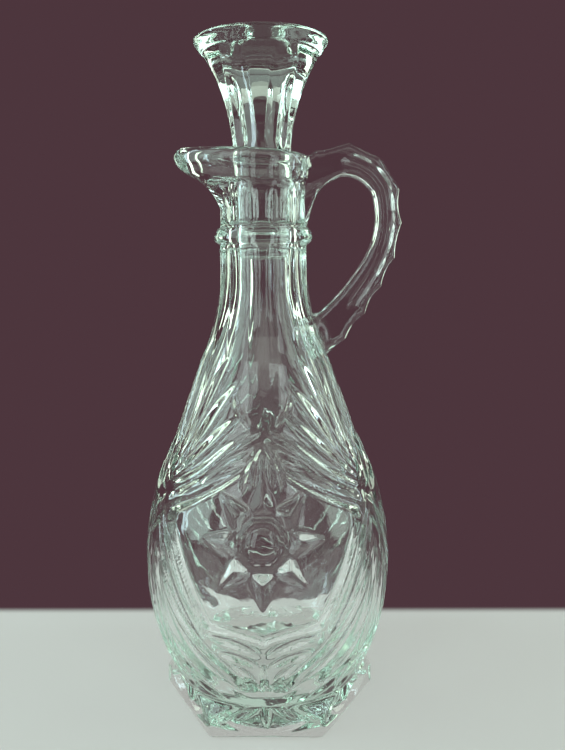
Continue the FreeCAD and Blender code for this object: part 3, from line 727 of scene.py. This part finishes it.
def soft_min(a, b, softness):
    """Smaller of two distances, rounded where they meet."""
    blend = np.clip(0.5 + 0.5 * (b - a) / softness, 0, 1)
    return b + (a - b) * blend - softness * blend * (1 - blend)


def rounded_corner(past_a, past_b, rounding):
    """Distance past two faces that meet in a rounded edge, from the distances past each."""
    a, b = past_a + rounding, past_b + rounding
    return np.hypot(np.maximum(a, 0), np.maximum(b, 0)) + np.minimum(np.maximum(a, b), 0) - rounding


def arm_distance(x, y, z):
    """Distance to the curved arm, with its scallops outside and a groove along each side."""
    nearest, share, side = nearest_on(curve_through(ARM_LINE, ARM_POINTS), x, z)
    halves = curve_through([(half, 0.0) for half in ARM_HALF], ARM_POINTS)[:, 0]
    half = np.interp(share, np.linspace(0, 1, ARM_POINTS), halves)
    swing = np.abs(np.sin(np.pi * SCALLOPS * share))
    outward = np.clip(side / half, 0, 1)
    half = half - SCALLOP_DIP * swing * outward * smoothstep(*SCALLOP_START, share)
    body = rounded_corner(np.abs(side) - half, np.abs(y) - ARM_WIDTH / 2, ARM_ROUND)
    past_end = np.where((share <= 0) | (share >= 1), nearest - np.abs(side), -ARM_WIDTH)
    start, end = GROOVE_SPAN
    ends = smoothstep(start, start + GROOVE_FADE, share)
    ends = ends * (1 - smoothstep(end - GROOVE_FADE, end, share))
    dip = GROOVE_DEPTH * ends * np.clip(1 - ((side + GROOVE_INSET) / GROOVE_HALF) ** 2, 0, 1)
    return np.maximum(body + dip, past_end)


def web_distance(x, y, z):
    """Distance to the web between the collar and the arm's upper end."""
    line = np.array(WEB_EDGE)
    edge = np.interp(z, line[:, 1], line[:, 0])
    slope = np.gradient(line[:, 0], line[:, 1])
    lean = np.sqrt(1 + np.interp(z, line[:, 1], slope) ** 2)
    flat = np.maximum((x - edge) / lean, np.maximum(line[0, 1] - z, z - line[-1, 1]))
    return rounded_corner(flat, np.abs(y) - WEB_WIDTH / 2, WEB_ROUND)


def pad_distance(x, y, z):
    """Distance to the oval pad under the arm's lower end."""
    lean = math.radians(PAD_LEAN)
    off_x, off_z = x - PAD_PLACE[0], z - PAD_PLACE[1]
    out = off_x * math.cos(lean) + off_z * math.sin(lean)
    up = -off_x * math.sin(lean) + off_z * math.cos(lean)
    flat = np.hypot(up / (PAD_LONG / 2), y / (PAD_WIDE / 2))
    ring = (flat - 1) * min(PAD_LONG, PAD_WIDE) / 2
    return rounded_corner(out - PAD_OUT, ring, PAD_ROUND)


def bottle_distance(x, y, z):
    """Distance to the bottle's plain outside, near the handle."""
    neck = outer_radius(np.minimum(z, COLLAR_TOP))
    lip = np.array(LIP_OUTSIDE)
    height = z + np.interp(z, lip[:, 0], lip[:, 1]) * x
    back = np.interp(height, lip[:, 0], lip[:, 2]) - lip_groove(height)
    over = np.clip((height - lip[-1, 0]) / RIM_RISE, 0, 1)
    inner_back = LIP_INSIDE[0][2]
    rim = (back + inner_back) / 2 + (back - inner_back) / 2 * np.sqrt(1 - over**2)
    radius = np.where(z < COLLAR_TOP, neck, np.where(over > 0, rim, back))
    radius = np.where(over >= 1, 0.0, radius)
    return np.hypot(x, y) - radius + SINK


def handle_distance(x, y, z):
    """Distance to the whole handle, cut off just inside the bottle's wall."""
    arm = arm_distance(x, y, z)
    joined = soft_min(soft_min(arm, web_distance(x, y, z), BLEND), pad_distance(x, y, z), BLEND)
    return np.maximum(joined, -bottle_distance(x, y, z))


def surface_net(field, origin, cell):
    """Closed mesh of four-sided faces on the zero level of a field sampled on a grid.

    Each cell that the surface crosses gets one point, the middle of the crossings on its edges.
    """
    solid = field < 0
    shape = np.array(field.shape) - 1
    total = np.zeros(tuple(shape) + (3,))
    count = np.zeros(tuple(shape))
    corners = [(i, j, k) for i in (0, 1) for j in (0, 1) for k in (0, 1)]

    def corner(offset):
        """Slices that pick this corner of every cell."""
        return tuple(slice(o, o + n) for o, n in zip(offset, shape))

    for a in corners:
        for axis in range(3):
            if a[axis]:
                continue
            b = tuple(v + (n == axis) for n, v in enumerate(a))
            low, high = field[corner(a)], field[corner(b)]
            crossed = solid[corner(a)] != solid[corner(b)]
            share = np.where(crossed, low / np.where(crossed, low - high, 1), 0)
            place = np.array(a, float) * crossed[..., None]
            place[..., axis] += share
            total += place
            count += crossed
    used = count > 0
    index = np.full(tuple(shape), -1)
    index[used] = np.arange(used.sum())
    cells = np.argwhere(used)
    points = origin + (cells + total[used] / count[used][:, None]) * cell
    faces = []
    for axis in range(3):
        first, second = (axis + 1) % 3, (axis + 2) % 3
        low = [slice(None)] * 3
        high = [slice(None)] * 3
        low[axis], high[axis] = slice(0, -1), slice(1, None)
        rising = solid[tuple(low)] & ~solid[tuple(high)]
        falling = ~solid[tuple(low)] & solid[tuple(high)]
        for changed, order in ((rising, 1), (falling, -1)):
            for place in np.argwhere(changed):
                around = []
                for u, v in ((0, 0), (1, 0), (1, 1), (0, 1)):
                    at = place.copy()
                    at[first] -= 1 - u
                    at[second] -= 1 - v
                    around.append(int(index[tuple(at)]))
                faces.append(tuple(around[::order]))
    return points, faces


def build_handle():
    """The handle: scalloped arm, web and pad in one smooth surface."""
    low, high = np.array(GRID_LOW), np.array(GRID_HIGH)
    counts = np.ceil((high - low) / CELL).astype(int)
    axes = [low[n] + np.arange(counts[n]) * CELL for n in range(3)]
    x, y, z = np.meshgrid(*axes, indexing="ij")
    field = handle_distance(x, y, z)
    points, faces = surface_net(field, low, CELL)
    piece = make_piece("handle_glass", points, faces, "handle", "bottle")
    smooth = piece.modifiers.new("fire polish", "SMOOTH")
    smooth.factor = POLISH_FACTOR
    smooth.iterations = POLISH_ROUNDS
    return piece


# Glass --------------------------------------------------------------------------------------


GLASS_IOR = 1.52
RIPPLE_SCALE, RIPPLE_DETAIL = 190.0, 1.5
RIPPLE_HEIGHT = 0.0006  # in metres
DULL_SCALE, DULL_DETAIL = 420.0, 3.0
DULL_START, DULL_FULL = 0.45, 0.80  # values of the noise between which the glass grows dull
DULL_TIMES = 5  # how many times rougher the dull spots are
# (tint, density of the tint, roughness, strength of the ripples)
PRESSED_GLASS = ((0.78, 0.955, 0.86), 19.0, 0.014, 0.18)
STOPPER_GLASS = ((0.78, 0.955, 0.84), 18.0, 0.012, 0.18)


def glass(name, tint, density, roughness, ripple):
    """Clear pressed glass with a faint tint, fire-polished ripples and a few dull spots."""
    material = bpy.data.materials.new(name)
    material.use_nodes = True
    tree = material.node_tree
    tree.nodes.clear()
    output = tree.nodes.new("ShaderNodeOutputMaterial")
    shader = tree.nodes.new("ShaderNodeBsdfPrincipled")
    shader.inputs["Base Color"].default_value = (1.0, 1.0, 1.0, 1.0)
    shader.inputs["Transmission Weight"].default_value = 1.0
    shader.inputs["IOR"].default_value = GLASS_IOR
    places = tree.nodes.new("ShaderNodeTexCoord")
    wave = tree.nodes.new("ShaderNodeTexNoise")
    wave.inputs["Scale"].default_value = RIPPLE_SCALE
    wave.inputs["Detail"].default_value = RIPPLE_DETAIL
    tree.links.new(places.outputs["Object"], wave.inputs["Vector"])
    bump = tree.nodes.new("ShaderNodeBump")
    bump.inputs["Strength"].default_value = ripple
    bump.inputs["Distance"].default_value = RIPPLE_HEIGHT
    tree.links.new(wave.outputs["Fac"], bump.inputs["Height"])
    tree.links.new(bump.outputs["Normal"], shader.inputs["Normal"])
    dull = tree.nodes.new("ShaderNodeTexNoise")
    dull.inputs["Scale"].default_value = DULL_SCALE
    dull.inputs["Detail"].default_value = DULL_DETAIL
    tree.links.new(places.outputs["Object"], dull.inputs["Vector"])
    spread = tree.nodes.new("ShaderNodeMapRange")
    spread.inputs["From Min"].default_value = DULL_START
    spread.inputs["From Max"].default_value = DULL_FULL
    spread.inputs["To Min"].default_value = roughness
    spread.inputs["To Max"].default_value = roughness * DULL_TIMES
    tree.links.new(dull.outputs["Fac"], spread.inputs["Value"])
    tree.links.new(spread.outputs["Result"], shader.inputs["Roughness"])
    tree.links.new(shader.outputs["BSDF"], output.inputs["Surface"])
    absorb = tree.nodes.new("ShaderNodeVolumeAbsorption")
    absorb.inputs["Color"].default_value = (*tint, 1.0)
    absorb.inputs["Density"].default_value = density
    tree.links.new(absorb.outputs["Volume"], output.inputs["Volume"])
    return material


# Stage --------------------------------------------------------------------------------------

FLOOR_HALF = 3.0  # in metres
# The pale floor's glow is painted light: it keeps the floor bright in the glass's shadow, and outside the
# pale part the floor glows evenly with the dark backdrop tone.
PALE_TONE, PAINTED_FLOOR_GLOW = (0.27, 0.27, 0.26), (0.37, 0.38, 0.36)
DARK_TONE = (0.074, 0.037, 0.047)
PALE_MIDDLE = (0.0, -0.121, 0.0)  # middle of the pale part of the floor, in metres
PALE_HALF = (0.40, 0.166, 1.0)  # half its length along each axis
PALE_EDGE = 0.006  # width of the fade at its edge


def make_floor():
    """Pale floor that turns dark just behind the object, so that the clear glass reads. It glows too: on
    the pale part the glow is painted light that keeps it bright in the glass's shadow.
    """
    mesh = bpy.data.meshes.new("floor")
    half = FLOOR_HALF
    corners = [(-half, -half, 0), (half, -half, 0), (half, half, 0), (-half, half, 0)]
    mesh.from_pydata(corners, [], [(0, 1, 2, 3)])
    floor = bpy.data.objects.new("floor", mesh)
    bpy.context.scene.collection.objects.link(floor)
    material = bpy.data.materials.new("pale_floor")
    material.use_nodes = True
    tree = material.node_tree
    shader = tree.nodes["Principled BSDF"]
    shader.inputs["Roughness"].default_value = 0.75
    shader.inputs["Specular IOR Level"].default_value = 0.0
    places = tree.nodes.new("ShaderNodeTexCoord")
    place = places.outputs["Object"]
    for operation, value in (("SUBTRACT", PALE_MIDDLE), ("ABSOLUTE", (0, 0, 0)), ("SUBTRACT", PALE_HALF)):
        step = tree.nodes.new("ShaderNodeVectorMath")
        step.operation = operation
        step.inputs[1].default_value = value
        tree.links.new(place, step.inputs[0])
        place = step.outputs["Vector"]
    split = tree.nodes.new("ShaderNodeSeparateXYZ")
    tree.links.new(place, split.inputs["Vector"])
    outside = tree.nodes.new("ShaderNodeMath")
    outside.operation = "MAXIMUM"
    tree.links.new(split.outputs["X"], outside.inputs[0])
    tree.links.new(split.outputs["Y"], outside.inputs[1])
    fall = tree.nodes.new("ShaderNodeMapRange")
    fall.interpolation_type = "SMOOTHSTEP"
    fall.inputs["From Max"].default_value = PALE_EDGE
    tree.links.new(outside.outputs["Value"], fall.inputs["Value"])
    tone = tree.nodes.new("ShaderNodeMix")
    tone.data_type = "RGBA"
    tone.inputs["A"].default_value = (*PALE_TONE, 1.0)
    tone.inputs["B"].default_value = (0.0, 0.0, 0.0, 1.0)
    tree.links.new(fall.outputs["Result"], tone.inputs["Factor"])
    tree.links.new(tone.outputs["Result"], shader.inputs["Base Color"])
    # Painted light: the floor glows, bright on the pale part so that the glass's shadow stays pale, and
    # evenly dark behind.
    painted_glow = tree.nodes.new("ShaderNodeMix")
    painted_glow.data_type = "RGBA"
    painted_glow.inputs["A"].default_value = (*PAINTED_FLOOR_GLOW, 1.0)
    painted_glow.inputs["B"].default_value = (*DARK_TONE, 1.0)
    tree.links.new(fall.outputs["Result"], painted_glow.inputs["Factor"])
    tree.links.new(painted_glow.outputs["Result"], shader.inputs["Emission Color"])
    shader.inputs["Emission Strength"].default_value = 1.0
    floor.data.materials.append(material)


BRIGHT_SIDE = (0.0, -0.35, 0.94)  # direction of the brightest surroundings
BRIGHT_START = 0.45  # how near to that direction they begin to brighten
BRIGHT_TONE = (0.24, 0.26, 0.25)


def make_world():
    """Dim surroundings that brighten overhead."""
    world = bpy.data.worlds.new("studio")
    bpy.context.scene.world = world
    world.use_nodes = True
    tree = world.node_tree
    tree.nodes.clear()
    output = tree.nodes.new("ShaderNodeOutputWorld")
    background = tree.nodes.new("ShaderNodeBackground")
    places = tree.nodes.new("ShaderNodeTexCoord")
    upward = tree.nodes.new("ShaderNodeVectorMath")
    upward.operation = "DOT_PRODUCT"
    upward.inputs[1].default_value = BRIGHT_SIDE
    ramp = tree.nodes.new("ShaderNodeValToRGB")
    ramp.color_ramp.elements[0].position = BRIGHT_START
    ramp.color_ramp.elements[0].color = (*DARK_TONE, 1.0)
    ramp.color_ramp.elements[1].position = 1.0
    ramp.color_ramp.elements[1].color = (*BRIGHT_TONE, 1.0)
    tree.links.new(places.outputs["Generated"], upward.inputs[0])
    tree.links.new(upward.outputs["Value"], ramp.inputs["Fac"])
    tree.links.new(ramp.outputs["Color"], background.inputs["Color"])
    tree.links.new(background.outputs["Background"], output.inputs["Surface"])


LIGHT_TARGET = (0.0, 0.0, 0.10)
# (name, place in metres, size in metres, radiance, colour)
LIGHTS = [
    ("left_wall", (-0.60, -0.16, 0.30), (0.42, 0.90), 2.6, (0.70, 1.0, 0.90)),
    ("left_strip", (-0.45, -0.02, 0.25), (0.05, 0.55), 7.5, (0.66, 0.92, 1.0)),
    ("right_wall", (0.62, -0.10, 0.30), (0.36, 0.80), 2.1, (0.74, 1.0, 0.86)),
    ("right_strip", (0.46, 0.04, 0.24), (0.04, 0.50), 6.0, (0.68, 0.92, 1.0)),
    ("left_back_strip", (-0.38, 0.42, 0.18), (0.12, 0.34), 2.8, (0.76, 1.0, 0.78)),
    ("right_back_strip", (0.40, 0.38, 0.18), (0.10, 0.34), 2.4, (0.80, 1.0, 0.80)),
    ("front_left_panel", (-0.52, -0.72, 0.36), (0.34, 0.80), 2.8, (0.80, 1.0, 0.95)),
    ("front_right_panel", (0.50, -0.74, 0.34), (0.22, 0.70), 2.4, (0.80, 1.0, 0.95)),
    ("ceiling", (0.00, -0.75, 0.80), (1.10, 0.40), 1.0, (0.86, 1.0, 0.88)),
    ("back_ceiling", (0.00, 0.50, 0.70), (1.10, 0.24), 0.40, (0.80, 1.0, 0.84)),
]


def area_light(name, place, target, size, radiance, colour):
    """Soft box that lights and is reflected, but isn't seen by the camera."""
    data = bpy.data.lights.new(name, "AREA")
    data.shape = "RECTANGLE"
    data.size, data.size_y = size
    data.energy = radiance * math.pi * size[0] * size[1]
    data.color = colour
    light = bpy.data.objects.new(name, data)
    light.location = place
    aim = Vector(target) - Vector(place)
    light.rotation_euler = aim.to_track_quat("-Z", "Y").to_euler()
    light.visible_camera = False
    bpy.context.scene.collection.objects.link(light)


def make_lights():
    """Tall soft boxes at the sides, in front and behind, and two broad ones overhead."""
    for name, place, size, radiance, colour in LIGHTS:
        area_light(name, place, LIGHT_TARGET, size, radiance, colour)


# Camera -------------------------------------------------------------------------------------

# Distances in metres, angles in degrees, the lens and its sensor in mm
CAMERA_DISTANCE = 0.2202
CAMERA_HEIGHT = 0.1397
CAMERA_AZIMUTH = 2.4
CAMERA_PITCH = 9.82
CAMERA_YAW = 1.35
CAMERA_ROLL = 0.57
CAMERA_LENS = 35.35
SENSOR_HEIGHT = 36.0


def make_camera():
    """Close camera in front of the bottle, over its middle and tipped a little down."""
    data = bpy.data.cameras.new("camera")
    data.sensor_fit = "VERTICAL"
    data.sensor_height = SENSOR_HEIGHT
    data.lens = CAMERA_LENS
    data.clip_start = 0.01
    camera = bpy.data.objects.new("camera", data)
    around = math.radians(CAMERA_AZIMUTH)
    place = (CAMERA_DISTANCE * math.sin(around), -CAMERA_DISTANCE * math.cos(around), CAMERA_HEIGHT)
    turn = Matrix.Rotation(around - math.radians(CAMERA_YAW), 4, "Z")
    tilt = Matrix.Rotation(math.radians(90 - CAMERA_PITCH), 4, "X")
    roll = Matrix.Rotation(math.radians(-CAMERA_ROLL), 4, "Z")
    camera.matrix_world = Matrix.Translation(place) @ turn @ tilt @ roll
    bpy.context.scene.collection.objects.link(camera)
    bpy.context.scene.camera = camera


def set_light_paths():
    """Plain display colours, and enough bounces to cross both walls, the stopper and the handle."""
    bpy.context.scene.view_settings.view_transform = "Standard"
    cycles = bpy.context.scene.cycles
    cycles.max_bounces = 24
    cycles.transmission_bounces = 24
    cycles.glossy_bounces = 12
    cycles.diffuse_bounces = 3
    cycles.transparent_max_bounces = 16
    cycles.caustics_reflective = False
    cycles.caustics_refractive = True


def main():
    """Build the three pieces, and the stage, lights and camera round them."""
    pressed = glass("pressed_glass", *PRESSED_GLASS)
    clear = glass("stopper_glass", *STOPPER_GLASS)
    bottle = build_bottle()
    handle = build_handle()
    stopper = build_stopper()
    bottle.data.materials.append(pressed)
    handle.data.materials.append(pressed)
    stopper.data.materials.append(clear)
    make_floor()
    make_world()
    make_lights()
    make_camera()
    set_light_paths()


main()
